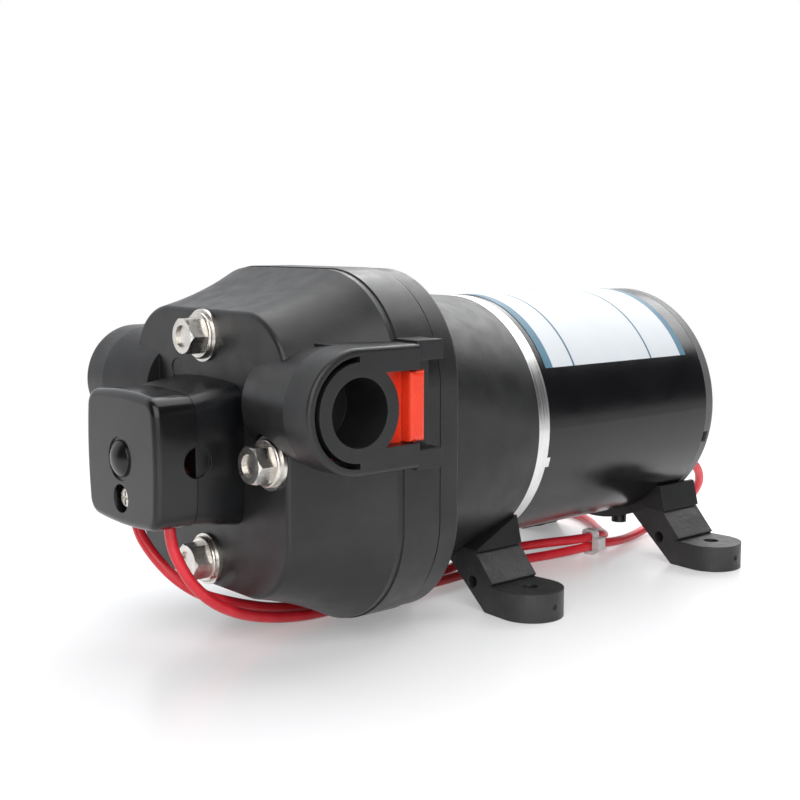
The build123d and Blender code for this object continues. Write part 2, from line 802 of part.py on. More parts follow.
def valve_plate():
    half = recess_half - seat_gap
    body = slab(rounded(half, half, recess_corner - seat_gap), plate_front, diaphragm_front)
    for x, z in bolt_places:
        body = body - disc(bolt_hole_radius, plate_front - cut_over, diaphragm_front + cut_over, x, z)
    for x, z in chamber_places:
        body = body - disc(chamber_radius, chamber_floor, diaphragm_front + cut_over, x, z)
    for x, z in inlet_valve_places:
        body = body - disc(inlet_valve_seat_radius, chamber_floor - inlet_valve_seat_depth,
                           diaphragm_front, x, z)
        body = body - disc(valve_stem_radius, plate_front - cut_over, chamber_floor, x, z)
        for port_x, port_z in around(4, valve_port_spread, chamber_angle):
            hole = disc(valve_port_radius, plate_front - cut_over, chamber_floor, x + port_x, z + port_z)
            body = body - hole
    for corner in range(4):
        for turn in (-outlet_port_spread_angle, 0, outlet_port_spread_angle):
            x, z = around(4, outlet_port_pitch_radius, chamber_angle + turn)[corner]
            body = body - disc(outlet_port_radius, plate_front - cut_over, chamber_floor + cut_over, x, z)
    return body - disc(valve_stem_radius, plate_front - cut_over, diaphragm_front + cut_over)


def inlet_valves():
    valves = []
    seat = chamber_floor - inlet_valve_seat_depth
    for x, z in inlet_valve_places:
        flap = disc(inlet_valve_radius, seat, seat + inlet_valve_thick, x, z)
        stem = disc(valve_stem_radius, plate_front, seat, x, z)
        bulb = disc(valve_bulb_radius, plate_front - valve_bulb_length, plate_front, x, z)
        valves.append(flap + stem + bulb)
    return together(valves)


def outlet_valve():
    lobes = disc(outlet_valve_radius, plate_front - outlet_valve_thick, plate_front)
    front = plate_front - 2 * outlet_valve_thick
    for x, z in around(4, outlet_valve_radius):
        lobes = lobes - disc(valve_bulb_radius, front, plate_front + cut_over, x, z)
    stem = disc(valve_stem_radius, plate_front, diaphragm_front)
    return lobes + stem


def diaphragm():
    half = recess_half - seat_gap
    body = slab(rounded(half, half, recess_corner - seat_gap), diaphragm_front, spigot_front)
    for x, z in bolt_places:
        body = body - disc(bolt_hole_radius, diaphragm_front - cut_over, spigot_front + cut_over, x, z)
    inner_radius = diaphragm_dome_radius - diaphragm_wall
    for x, z in chamber_places:
        foot_outer = station(spigot_front) * Pos(x, z) * Circle(diaphragm_dome_radius)
        foot_inner = station(spigot_front) * Pos(x, z) * Circle(inner_radius)
        top_outer = tilted(station(clamp_front) * Pos(x, z) * Circle(diaphragm_clamp_radius))
        top_inner = tilted(station(clamp_rear) * Pos(x, z) * Circle(diaphragm_clamp_radius - diaphragm_wall))
        body = body + loft([foot_outer, top_outer]) - loft([foot_inner, top_inner])
        hole = tilted(disc(piston_screw_radius + fit_gap, clamp_front - cut_over, clamp_rear + cut_over, x, z))
        body = body - hole
    return body


def piston_caps():
    caps = []
    for x, z in chamber_places:
        front = clamp_front - piston_cap_thick
        seat = front + piston_cap_thick / 2
        cap = disc(piston_cap_radius, front, clamp_front, x, z)
        cap = fillet(cap.edges().sort_by(Axis.Y)[0], piston_cap_thick / 2)
        cap = cap - disc(piston_screw_radius + fit_gap, front - cut_over, clamp_front + cut_over, x, z)
        cap = cap - disc(piston_screw_head_radius + fit_gap, front - cut_over, seat, x, z)
        caps.append(tilted(cap))
    return together(caps)


def piston_screws():
    screws = []
    for x, z in chamber_places:
        face = clamp_front - piston_cap_thick
        seat = face + piston_cap_thick / 2
        head = disc(piston_screw_head_radius, face, seat, x, z)
        screws.append(tilted(head + disc(piston_screw_radius, seat, seat + piston_screw_length, x, z)))
    return together(screws)


# Wobble drive

def wobble_plate():
    body = disc(wobble_web_radius, web_front, web_rear)
    body = body + disc(wobble_ring_radius, web_rear, bearing_rear)
    body = body - disc(bearing_outer_radius, web_rear, bearing_rear + cut_over)
    body = body - disc(bearing_outer_radius - bearing_outer_wall, web_front - cut_over, web_rear + cut_over)
    for x, z in chamber_places:
        post = disc(wobble_post_radius, clamp_rear, web_rear, x, z)
        hole_end = clamp_rear + piston_screw_length
        body = body + post - disc(piston_screw_radius, clamp_rear - cut_over, hole_end, x, z)
    return tilted(body)


def race_groove(ring_body, pitch, ball, middle):
    groove = Plane(origin=(0, middle, axis_height), z_dir=(0, 1, 0)) * Torus(pitch, ball + running_gap)
    return ring_body - groove


def ball_set(count, pitch, ball, middle):
    return together([Pos(x, middle, axis_height + z) * Sphere(ball) for x, z in around(count, pitch)])


cam_pitch = (bearing_bore_radius + bearing_outer_radius) / 2
cam_middle = (web_rear + bearing_rear) / 2


def cam_bearing_inner():
    body = tube(bearing_bore_radius + bearing_inner_wall, bearing_bore_radius, web_rear, bearing_rear)
    return tilted(race_groove(body, cam_pitch, bearing_ball_radius, cam_middle))


def cam_bearing_outer():
    body = tube(bearing_outer_radius, bearing_outer_radius - bearing_outer_wall, web_rear, bearing_rear)
    return tilted(race_groove(body, cam_pitch, bearing_ball_radius, cam_middle))


def cam_bearing_balls():
    return together([tilted(ball_set(bearing_ball_count, cam_pitch, bearing_ball_radius, cam_middle))])


def shaft_flat(front):
    # The part of the round that the flat on the shaft takes off, from the front to behind the hub
    return block((-shaft_radius, shaft_radius), (front, bearing_rear + 2 * hub_shoulder_thick),
                 (axis_height + hub_flat, axis_height + 2 * shaft_radius))


def cam_hub():
    body = disc(bearing_bore_radius, web_rear, bearing_rear)
    body = body + disc(hub_shoulder_radius, bearing_rear, bearing_rear + hub_shoulder_thick)
    bore = disc(shaft_radius, web_rear - 2 * cut_over, bearing_rear + 2 * hub_shoulder_thick)
    return tilted(body) - (bore - shaft_flat(web_rear - 2 * cut_over))


# Lower housing

def saddle(y, inner_radius, front_top):
    # A band under the round body with a wing each side that reaches down into a rubber foot.
    # The top edge runs from the height given at the front to the saddle's full height at the rear.
    front = y - leg_width / 2
    rear = y + leg_width / 2
    band = tube(saddle_radius, inner_radius, front, rear)
    outline = Polyline((wing_top_x, saddle_top), (wing_bottom_x, wing_bottom), (wing_bottom_x, 0), (0, 0),
                       (0, saddle_top), close=True)
    profile = extrude(Plane(origin=(0, rear, 0), x_dir=(1, 0, 0), z_dir=(0, -1, 0)) * make_face(outline),
                      amount=leg_width)
    wing = profile - block((-cut_over, wing_bottom_x + cut_over), (front - cut_over, rear + cut_over),
                           (-cut_over, wing_bottom))
    tongue = block((wing_tongue_in, wing_tongue_out), (y - wing_tongue_half, y + wing_tongue_half),
                   (wing_tongue_bottom, wing_bottom + cut_over))
    half = (band & profile) + wing + tongue
    side = Polyline((front, 0), (rear, 0), (rear, saddle_top), (front, front_top), close=True)
    half = half & extrude(Plane.YZ * make_face(side), amount=wing_bottom_x + cut_over)
    half = half - disc(inner_radius, front - cut_over, rear + cut_over)
    return fuse_all(both_sides(half))


def housing_body_loft():
    root = station(flange_rear) * rounded(housing_root_half, housing_root_half, housing_root_corner)
    end = station(housing_rear) * rounded(motor_radius, motor_radius, motor_radius - housing_end_flat)
    return loft([root, end])


def bolt_boss(angle):
    # A thread boss with a web that runs out to the wall, however wide the room is
    boss = Pos(bolt_circle_radius, 0) * Circle(bolt_pillar_radius)
    web = Pos((bolt_circle_radius + spigot_half) / 2, 0) * Rectangle(spigot_half - bolt_circle_radius,
                                                                     2 * bolt_pillar_radius)
    return slab(Rot(0, 0, angle) * (boss + web), spigot_front, spigot_front + bolt_boss_length)


def lower_housing():
    flange = slab(rounded(rim_half, rim_half, rim_corner), flange_front, flange_rear)
    flange = fillet(flange.faces().sort_by(Axis.Y)[-1].edges(), flange_fillet)
    spigot = slab(rounded(spigot_half, spigot_half, recess_corner - seat_gap), spigot_front, flange_front)
    body = flange + spigot + housing_body_loft()
    body = body + saddle(-foot_y, housing_room_radius + cut_over, wing_bottom + gusset_rise)
    body = body - disc(housing_room_radius, spigot_front - cut_over, housing_floor)
    for index, (x, z) in enumerate(bolt_places):
        boss = bolt_boss(360 * index / len(bolt_places))
        body = body + (boss & disc(housing_room_radius + cut_over, spigot_front, housing_floor))
        body = body - disc(bolt_thread_radius, spigot_front - cut_over, spigot_front + bolt_boss_length, x, z)
    for x, z in housing_screw_places:
        body = body - disc(housing_screw_hole_radius, housing_floor - cut_over, housing_rear + cut_over, x, z)
    body = body - disc(motor_radius + fit_gap, housing_rear, housing_rear + leg_width)
    return body - disc(plate_boss_radius + fit_gap, housing_floor - cut_over, housing_rear + cut_over)


def housing_screws():
    grip = housing_back_wall + housing_screw_grip
    face = housing_floor - housing_screw_head_height
    return together([screw(housing_screw_head_radius, housing_screw_head_height, housing_screw_radius, grip,
                           face, x, z) for x, z in housing_screw_places])


# Motor

def lock_notch(front, rear, width):
    # A narrow block across the wall of the motor can, turned down to where the can is keyed
    key = block((tube_bore - cut_over, motor_radius + cut_over), (front, rear),
                (axis_height - width / 2, axis_height + width / 2))
    return Pos(0, 0, axis_height) * Rot(0, -lock_angle, 0) * Pos(0, 0, -axis_height) * key


def motor_front_plate():
    body = disc(motor_radius, housing_rear, tube_front)
    body = body + disc(tube_bore - fit_gap, tube_front, tube_front + plate_pilot)
    body = body + disc(plate_boss_radius, front_bearing_front, housing_rear)
    bearing_seat = front_bearing_front + motor_bearing_width
    body = body - disc(motor_bearing_radius, front_bearing_front - cut_over, bearing_seat)
    body = body - disc(shaft_radius + seat_gap, front_bearing_front, tube_front + plate_pilot + cut_over)
    for x, z in housing_screw_places:
        body = body - disc(housing_screw_radius, housing_rear - cut_over, tube_front + cut_over, x, z)
    for side in (-1, 1):
        body = body - disc(tie_bolt_radius, housing_rear + cut_over, tube_front + plate_pilot + cut_over,
                           side * tie_bolt_circle_radius)
    key = lock_notch(tube_front - plate_rim / 2, tube_front + lock_tab_length, lock_tab_width)
    return body + (key & disc(motor_radius, housing_rear, tube_rear))


def motor_tube():
    body = tube(motor_radius, tube_bore, tube_front, tube_rear)
    body = body - lock_notch(tube_front - cut_over, tube_front + lock_tab_length + fit_gap,
                             lock_tab_width + 2 * fit_gap)
    for side in (-1, 1):
        body = body - bracket_screw_line(side * bracket_screw_x, bracket_screw_radius)
    return body


def magnets():
    ring_body = tube(magnet_outer, magnet_inner, magnet_front, magnet_rear)
    reach = magnet_outer / math.cos(math.radians(magnet_half_angle))
    spread = reach * math.sin(math.radians(magnet_half_angle))
    rise = reach * math.cos(math.radians(magnet_half_angle))
    wedge = make_face(Polyline((0, 0), (-spread, rise), (-spread, 2 * magnet_outer), (spread, 2 * magnet_outer),
                               (spread, rise), close=True))
    upper = ring_body & slab(wedge, magnet_front - cut_over, magnet_rear + cut_over)
    lower = ring_body & slab(mirror(wedge, about=Plane.XZ), magnet_front - cut_over, magnet_rear + cut_over)
    return together([upper, lower])


def slot_sketch(margin):
    # One winding slot of the core, with its narrow mouth, at the top of the circle
    floor = core_hub_radius + margin
    roof = floor + slot_depth - 2 * margin
    body = Pos(0, (floor + roof) / 2) * RectangleRounded(slot_width - 2 * margin, roof - floor, slot_mouth / 2)
    return body


def armature_core():
    body = tube(core_radius, shaft_radius, core_front, core_rear)
    mouth_height = core_radius - core_hub_radius - slot_depth + cut_over
    mouth = Pos(0, core_radius + cut_over - mouth_height / 2) * Rectangle(slot_mouth, mouth_height + cut_over)
    for index in range(core_slots):
        turn = Rot(0, 0, 360 * index / core_slots)
        body = body - slab(turn * (slot_sketch(0) + mouth), core_front - cut_over, core_rear + cut_over)
    return body


def armature_windings():
    ends = []
    for front, rear in ((core_front - coil_overhang, core_front), (core_rear, coil_end)):
        ring_body = tube(coil_ring_outer, coil_ring_inner, front, rear)
        ends.append(fillet(ring_body.edges().filter_by(GeomType.CIRCLE), coil_overhang / 3))
    body = ends[0] + ends[1]
    front = core_front - coil_overhang / 2
    rear = core_rear + coil_overhang / 2
    for index in range(core_slots):
        turn = Rot(0, 0, 360 * index / core_slots)
        body = body + slab(turn * slot_sketch(seat_gap), front, rear)
    return body


def commutator():
    body = tube(commutator_radius, shaft_radius, commutator_front, commutator_rear)
    for index in range(commutator_segments):
        turn = Rot(0, 0, 360 * (index + 0.5) / commutator_segments)
        cut = turn * Pos(0, commutator_radius) * Rectangle(commutator_cut, 2 * commutator_cut)
        body = body - slab(cut, commutator_front - cut_over, commutator_rear + cut_over)
    riser = tube(commutator_radius + commutator_gap, shaft_radius, coil_end, commutator_front)
    return body + riser


def motor_shaft():
    front = web_rear - cut_over / 2
    return disc(shaft_radius, front, rear_bearing_rear) - shaft_flat(front - cut_over)


def motor_bearing_spans():
    return [(front_bearing_front, front_bearing_front + motor_bearing_width),
            (rear_bearing_front, rear_bearing_rear)]


motor_ball_pitch = (shaft_radius + motor_bearing_radius) / 2


def motor_bearing_rings(outer, inner):
    rings = []
    for front, rear in motor_bearing_spans():
        body = tube(outer, inner, front, rear)
        rings.append(race_groove(body, motor_ball_pitch, motor_ball_radius, (front + rear) / 2))
    return together(rings)


def motor_bearing_outers():
    return motor_bearing_rings(motor_bearing_radius, motor_bearing_radius - motor_bearing_wall)


def motor_bearing_inners():
    return motor_bearing_rings(shaft_radius + motor_bearing_wall, shaft_radius)


def motor_bearing_balls():
    return together([ball_set(motor_ball_count, motor_ball_pitch, motor_ball_radius, (front + rear) / 2)
                     for front, rear in motor_bearing_spans()])


brush_middle = (commutator_front + commutator_rear) / 2


def brush_box(grow, start, end):
    half_y = brush_width / 2 + grow
    half_z = brush_height / 2 + grow
    return block((start, end), (brush_middle - half_y, brush_middle + half_y),
                 (axis_height - half_z, axis_height + half_z))


def brushes():
    start = commutator_radius - commutator_cut
    body = brush_box(0, start, commutator_radius + brush_length)
    body = body - disc(commutator_radius + running_gap, commutator_front - cut_over, commutator_rear + cut_over)
    return together(both_sides(body))


brush_holder_start = commutator_radius + 2 * commutator_gap
brush_holder_end = commutator_radius + brush_length + brush_spring_length


def brush_holders():
    grow = fit_gap + brush_holder_wall
    body = brush_box(grow, brush_holder_start, brush_holder_end + brush_holder_wall)
    body = body - brush_box(fit_gap, brush_holder_start - cut_over, brush_holder_end)
    stand = block((brush_holder_start, brush_holder_end),
                  (brush_middle + brush_width / 2 + grow, brush_plate_front),
                  (axis_height - brush_height / 2, axis_height + brush_height / 2))
    return together(both_sides(body + stand))


def brush_springs():
    start = commutator_radius + brush_length + brush_spring_wire_radius
    height = brush_spring_length - 2 * brush_spring_wire_radius
    place = Plane(origin=(start, brush_middle, axis_height), z_dir=(1, 0, 0))
    spring = coil_spring(brush_spring_radius, brush_spring_wire_radius, height / brush_spring_turns, height,
                         place.location)
    return together(both_sides(spring))


def brush_plate():
    front = brush_plate_front - cut_over
    rear = brush_plate_rear + cut_over
    body = tube(tube_bore - fit_gap, brush_plate_bore, brush_plate_front, brush_plate_rear)
    for side in (-1, 1):
        body = body - disc(tie_bolt_radius + seat_gap, front, rear, side * tie_bolt_circle_radius)
    for x in (grommet_x, grommet_x - grommet_spread):
        body = body - disc(wire_radius + seat_gap, front, rear, x, -grommet_drop)
    return body


def rear_end_cap():
    body = disc(motor_radius, tube_rear, motor_rear)
    body = fillet(body.edges().sort_by(Axis.Y)[-1], cap_rear_fillet)
    body = body + tube(tube_bore - fit_gap, tube_bore - tube_wall, brush_plate_rear, tube_rear)
    body = body + disc(cap_boss_radius, rear_bearing_front, tube_rear)
    body = body - disc(motor_bearing_radius, rear_bearing_front - cut_over, rear_bearing_rear)
    for side in (-1, 1):
        body = body - disc(tie_bolt_radius + fit_gap, brush_plate_rear - cut_over, motor_rear + cut_over,
                           side * tie_bolt_circle_radius)
        head_seat = motor_rear - tie_bolt_head_height
        body = body - disc(tie_bolt_head_radius + fit_gap, head_seat, motor_rear + cut_over,
                           side * tie_bolt_circle_radius)
    for x in (grommet_x, grommet_x - grommet_spread):
        body = body - disc(grommet_neck_radius, tube_rear - cut_over, motor_rear + cut_over, x, -grommet_drop)
    return body - lock_notch(tube_rear, tube_rear + vent_slot_length, vent_slot_width)


def lead_grommets():
    grommets = []
    for x in (grommet_x, grommet_x - grommet_spread):
        flange_end = motor_rear + grommet_flange_thick
        nose_rear = flange_end + grommet_taper_length
        body = disc(grommet_neck_radius, tube_rear, motor_rear, x, -grommet_drop)
        body = body + disc(grommet_flange_radius, motor_rear, flange_end, x, -grommet_drop)
        wide = station(flange_end) * Pos(x, -grommet_drop) * Circle(grommet_neck_radius)
        narrow = station(nose_rear) * Pos(x, -grommet_drop) * Circle(wire_radius + brush_holder_wall)
        body = body + loft([wide, narrow])
        grommets.append(body - disc(wire_radius, tube_rear - cut_over, nose_rear + cut_over, x, -grommet_drop))
    return together(grommets)


def inner_leads():
    # The stretches of wire inside the switch cap, and inside the rear grommet and end cap
    leads = []
    top = axis_height + tower_radius - terminal_length
    for route in (motor_lead_route, supply_lead_route):
        x, y, z = route[0]
        leads.append(Pos(x, y, (z + top) / 2) * Cylinder(wire_radius, top - z))
    rear = motor_lead_route[-1][1]
    leads.append(disc(wire_radius, rear - inner_lead_length, rear, grommet_x, -grommet_drop))
    return together(leads)


def through_bolts():
    bolts = []
    for side in (-1, 1):
        x = side * tie_bolt_circle_radius
        seat = motor_rear - tie_bolt_head_height
        shank = disc(tie_bolt_radius, housing_rear + cut_over, seat, x)
        head = disc(tie_bolt_head_radius, seat, motor_rear, x)
        slot = slab(Pos(x, 0) * Rectangle(2 * tie_bolt_head_radius, cross_width),
                    motor_rear - cross_depth, motor_rear + cut_over)
        bolts.append(shank + head - slot)
    return together(bolts)


def motor_label():
    front = tube_front + label_margin_front
    rear = tube_rear - label_margin_rear
    outer = motor_radius + label_thick
    ring_body = tube(outer, motor_radius + running_gap, front, rear)
    reach = 2 * outer
    start, end = [(reach * math.cos(math.radians(angle)), reach * math.sin(math.radians(angle)))
                  for angle in (label_start_angle, label_end_angle)]
    wedge = make_face(Polyline((0, 0), start, (reach, 2 * reach), (-reach, 2 * reach), end, close=True))
    return ring_body & slab(wedge, front - cut_over, rear + cut_over)


# Rear saddle, its screws and the feet

def bracket_screw_line(x, radius):
    # A vertical drilling through the saddle and the tube wall near the bottom of the motor
    length = 2 * (saddle_thick + tube_wall + cut_over)
    bottom = axis_height - math.sqrt(saddle_radius ** 2 - x ** 2) - cut_over
    return Pos(x, bracket_screw_y, bottom + length / 2) * Cylinder(radius, length)


def rear_bracket():
    body = saddle(foot_y, motor_radius, saddle_top)
    for side in (-1, 1):
        body = body - bracket_screw_line(side * bracket_screw_x, bracket_screw_radius)
    return body


def bracket_screws():
    screws = []
    near_x = bracket_screw_x - bracket_screw_head_radius
    far_x = bracket_screw_x + bracket_screw_head_radius
    seat = axis_height - math.sqrt(saddle_radius ** 2 - near_x ** 2)
    rise = axis_height - math.sqrt(saddle_radius ** 2 - far_x ** 2)
    shank_length = saddle_thick + bracket_screw_grip
    for side in (-1, 1):
        head = Pos(0, 0, seat - bracket_screw_head_height / 2) * Cylinder(
            bracket_screw_head_radius, bracket_screw_head_height)
        collar = Pos(0, 0, (seat + rise) / 2) * Cylinder(bracket_screw_head_radius, rise - seat)
        shank = Pos(0, 0, seat + shank_length / 2) * Cylinder(bracket_screw_radius, shank_length)
        place = Pos(side * bracket_screw_x, bracket_screw_y, 0)
        collar = place * collar - disc(saddle_radius, foot_y - leg_width, foot_y + leg_width)
        screws.append(place * head + collar + place * shank)
    return together(screws)


def rubber_foot(side_x, side_y):
    y = side_y * foot_y
    front = y - leg_width / 2
    rear = y + leg_width / 2
    outline = Polyline(
        (foot_base_x, 0), (foot_x, 0), (foot_x, foot_thick), (foot_shin_x - foot_undercut, foot_thick),
        (foot_shin_x, foot_thick + foot_undercut), (foot_top_x, wing_bottom - foot_top_chamfer),
        (foot_top_x - foot_top_chamfer, wing_bottom), (foot_inner_x, wing_bottom), close=True)
    leg = extrude(Plane(origin=(0, rear, 0), x_dir=(1, 0, 0), z_dir=(0, -1, 0)) * make_face(outline),
                  amount=leg_width)
    pad = Pos(foot_x, y, foot_thick / 2) * Cylinder(foot_pad_radius, foot_thick)
    sole = make_face(Polyline((foot_base_x, front), (foot_x, y - foot_pad_radius),
                              (foot_x, y + foot_pad_radius), (foot_base_x, rear), close=True))
    body = leg + pad + extrude(sole, amount=foot_thick)
    body = body - disc(saddle_radius, front - cut_over, rear + cut_over)
    if side_y < 0:
        body = body - housing_body_loft()
    body = body - Pos(foot_x, y, foot_thick / 2) * Cylinder(foot_hole_radius, foot_thick + 2 * cut_over)
    body = body - block((wing_tongue_in - fit_gap, wing_tongue_out + fit_gap),
                        (y - wing_tongue_half - fit_gap, y + wing_tongue_half + fit_gap),
                        (wing_tongue_bottom - fit_gap, wing_bottom + cut_over))
    cross_place = (foot_cross_x, rear + cut_over, foot_cross_height)
    cross_plane = Plane(origin=cross_place, x_dir=(1, 0, 0), z_dir=(0, -1, 0))
    body = body - extrude(cross_plane * Circle(foot_cross_radius), amount=leg_width + 2 * cut_over)
    tip = foot_x + foot_pad_radius
    mark_plane = Plane(origin=(tip - foot_mark_depth, y, foot_thick / 2), x_dir=(0, 1, 0), z_dir=(1, 0, 0))
    body = body - extrude(mark_plane * Circle(foot_mark_radius), amount=2 * foot_mark_depth)
    return body if side_x > 0 else mirror(body, about=Plane.YZ)


# Leads, tie and coil

def corner_radii(route):
    # Each corner's arc takes 0.45 of its shorter run
    share = 0.45
    points = [Vector(*point) for point in route]
    radii = []
    for before, here, after in zip(points, points[1:], points[2:]):
        turn = math.radians((here - before).get_angle(after - here))
        shorter = min((here - before).length, (after - here).length)
        radii.append(share * shorter / math.tan(turn / 2))
    return radii


def lead_tube(name, route):
    radii = corner_radii(route)
    print(name, "radii", [round(radius, 1) for radius in radii])
    path = FilletPolyline(*route, radius=radii)
    section = Plane(origin=path @ 0, z_dir=path % 0) * Circle(wire_radius)
    solid = sweep(section, path=path)
    print(name, "length", round(path.length, 1), "volume share",
          round(solid.volume / (math.pi * wire_radius ** 2 * path.length), 4))
    return solid


def motor_lead():
    return lead_tube("motor_lead", motor_lead_route)


def supply_lead():
    return lead_tube("supply_lead", supply_lead_route)


def coil_radii():
    # Each half turn is a step smaller than the one before, and the last leaves room for the wire's end
    outer = coil_outer_radius - wire_radius
    steps = [outer - coil_pitch / 2 * half_turn for half_turn in range(2 * coil_turns - 1)]
    return steps + [coil_end_radius]


def coil_path():
    # Half turns that share their tangent where they meet, with a straight run of one wire diameter at each end
    x = coil_x - coil_pitch / 4 - coil_outer_radius + wire_radius
    run = 2 * wire_radius
    pieces = [Line((x, coil_y + run, coil_z), (x, coil_y, coil_z))]
    side = 1
    for radius in coil_radii():
        middle = (x + side * radius, coil_y - side * radius, coil_z)
        end = (x + 2 * side * radius, coil_y, coil_z)
        pieces.append(ThreePointArc((x, coil_y, coil_z), middle, end))
        x = end[0]
        side = -side
    pieces.append(Line((x, coil_y, coil_z), (x, coil_y - run, coil_z)))
    return pieces, x


def supply_coil():
    pieces, _ = coil_path()
    path = Wire(pieces)
    samples = [path @ (step / coil_samples) for step in range(coil_samples + 1)]
    apart = 2 * math.pi * coil_end_radius / 2
    step_length = path.length / coil_samples
    skip = math.ceil(apart / step_length)
    gap = min((one - other).length for index, one in enumerate(samples)
              for other in samples[index + skip:]) - 2 * wire_radius
    print("supply_coil length", round(path.length, 1), "least gap", round(gap, 2))
    section = Plane(origin=path @ 0, z_dir=path % 0) * Circle(wire_radius)
    return sweep(section, path=path)


def bare_end():
    # The stripped copper end of the supply lead, past the last of its insulation
    _, x = coil_path()
    rear = coil_y - 2 * wire_radius
    return disc(bare_end_radius, rear - bare_end_length, rear, x, coil_z - axis_height)


def tie_loop(x_low, x_high, z_low, z_high, band):
    # A closed strap of one thickness round the room given, its middle on Y zero
    x_middle = (x_low + x_high) / 2
    z_middle = (z_low + z_high) / 2
    width = x_high - x_low
    height = z_high - z_low
    section = Pos(x_middle, z_middle) * (
        RectangleRounded(width + 2 * band, height + 2 * band, wire_radius)
        - RectangleRounded(width, height, wire_radius - band / 2))
    return extrude(Plane(origin=(0, tie_width / 2, 0), x_dir=(1, 0, 0), z_dir=(0, -1, 0)) * section,
                   amount=tie_width)


def cable_ties():
    side = wire_radius + tie_room
    low = tie_band
    high = low + 4 * wire_radius + wire_stack_gap + 2 * tie_room
    strap = tie_loop(-side, side, low, high, tie_band)
    lock = block((side + tie_band / 2, side + tie_band + tie_lock_height), (-tie_lock / 2, tie_lock / 2),
                 ((low + high - tie_lock) / 2, (low + high + tie_lock) / 2))
    ties = [Pos(tie_x, tie_y, 0) * Rot(0, 0, tie_turn) * (strap + lock)]
    radii = coil_radii()
    left = coil_x - coil_pitch / 4 - radii[0]
    right = left + 2 * radii[0]
    reach = 2 * coil_pitch + side
    top = coil_z + side
    for x_low, x_high in ((left - side, left + reach), (right - reach, right + side)):
        strap = tie_loop(x_low, x_high, coil_tie_band, top, coil_tie_band)
        ties.append(Pos(0, coil_y, 0) * strap)
    return together(ties)


NODES = {
    "head_cover": head_cover,
    "head_bolts": head_bolts,
    "head_washers": head_washers,
    "switch_base": switch_base,
    "switch_cap": switch_cap,
    "switch_plug": switch_plug,
    "switch_cap_screw": switch_cap_screw,
    "switch_base_screws": switch_base_screws,
    "pressure_adjust_screw": pressure_adjust_screw,
    "switch_diaphragm": switch_diaphragm,
    "switch_plunger": switch_plunger,
    "switch_spring": switch_spring,
    "microswitch": microswitch,
    "microswitch_button": microswitch_button,
    "valve_plate": valve_plate,
    "inlet_valves": inlet_valves,
    "outlet_valve": outlet_valve,
    "diaphragm": diaphragm,
    "piston_caps": piston_caps,
    "piston_screws": piston_screws,
    "wobble_plate": wobble_plate,
    "cam_bearing_inner": cam_bearing_inner,
    "cam_bearing_outer": cam_bearing_outer,
    "cam_bearing_balls": cam_bearing_balls,
    "cam_hub": cam_hub,
    "lower_housing": lower_housing,
    "housing_screws": housing_screws,
    "motor_front_plate": motor_front_plate,
    "motor_tube": motor_tube,
    "magnets": magnets,
    "armature_core": armature_core,
    "armature_windings": armature_windings,
    "commutator": commutator,
    "motor_shaft": motor_shaft,
    "motor_bearing_outers": motor_bearing_outers,
    "motor_bearing_inners": motor_bearing_inners,
    "motor_bearing_balls": motor_bearing_balls,
    "brushes": brushes,
    "brush_holders": brush_holders,
    "brush_springs": brush_springs,
    "brush_plate": brush_plate,
    "rear_end_cap": rear_end_cap,
    "lead_grommets": lead_grommets,
    "inner_leads": inner_leads,
    "through_bolts": through_bolts,
    "motor_label": motor_label,
    "rear_bracket": rear_bracket,
    "bracket_screws": bracket_screws,
    "motor_lead": motor_lead,
    "supply_lead": supply_lead,
    "supply_coil": supply_coil,
    "bare_end": bare_end,
    "cable_ties": cable_ties,
}


def write_parts():
    os.makedirs("parts", exist_ok=True)
    for name, build in NODES.items():
        export_step(build(), f"parts/{name}.step")
    for x_name, side_x in (("right", 1), ("left", -1)):
        for y_name, side_y in (("front", -1), ("rear", 1)):
            export_step(rubber_foot(side_x, side_y), f"parts/foot_{y_name}_{x_name}.step")
    outlet, inlet = both_sides(slide_clip())
    export_step(outlet, "parts/outlet_clip.step")
    export_step(inlet, "parts/inlet_clip.step")


write_parts()
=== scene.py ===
import json
import math

import bpy
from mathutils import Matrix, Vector

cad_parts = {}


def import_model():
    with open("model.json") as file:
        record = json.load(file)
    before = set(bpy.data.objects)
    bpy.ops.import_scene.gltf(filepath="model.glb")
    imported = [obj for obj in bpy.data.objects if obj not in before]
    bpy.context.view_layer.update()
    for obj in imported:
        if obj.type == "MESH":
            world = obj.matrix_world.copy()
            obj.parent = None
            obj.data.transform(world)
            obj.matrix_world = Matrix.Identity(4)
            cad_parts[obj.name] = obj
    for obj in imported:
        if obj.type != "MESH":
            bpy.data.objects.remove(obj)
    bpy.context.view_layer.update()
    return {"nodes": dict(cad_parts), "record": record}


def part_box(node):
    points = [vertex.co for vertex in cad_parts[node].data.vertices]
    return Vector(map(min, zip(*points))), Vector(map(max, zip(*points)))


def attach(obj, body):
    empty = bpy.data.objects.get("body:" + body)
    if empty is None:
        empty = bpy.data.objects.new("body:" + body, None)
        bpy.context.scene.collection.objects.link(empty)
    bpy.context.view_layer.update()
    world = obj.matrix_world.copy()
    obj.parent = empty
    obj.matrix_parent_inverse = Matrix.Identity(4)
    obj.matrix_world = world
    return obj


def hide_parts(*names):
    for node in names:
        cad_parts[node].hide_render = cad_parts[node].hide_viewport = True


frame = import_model()
scene = bpy.context.scene
nodes = frame["nodes"]

# Camera, solved on the photograph, in metres and degrees
CAMERA_PLACE = (0.3241, -0.3388, 0.1196)
CAMERA_AZIMUTH = 49.4
CAMERA_ELEVATION = 7.29
CAMERA_FOCAL_SHARE = 1.6177
CAMERA_NEAR = 0.01
CAMERA_FAR = 50.0
SENSOR_WIDTH = 36.0

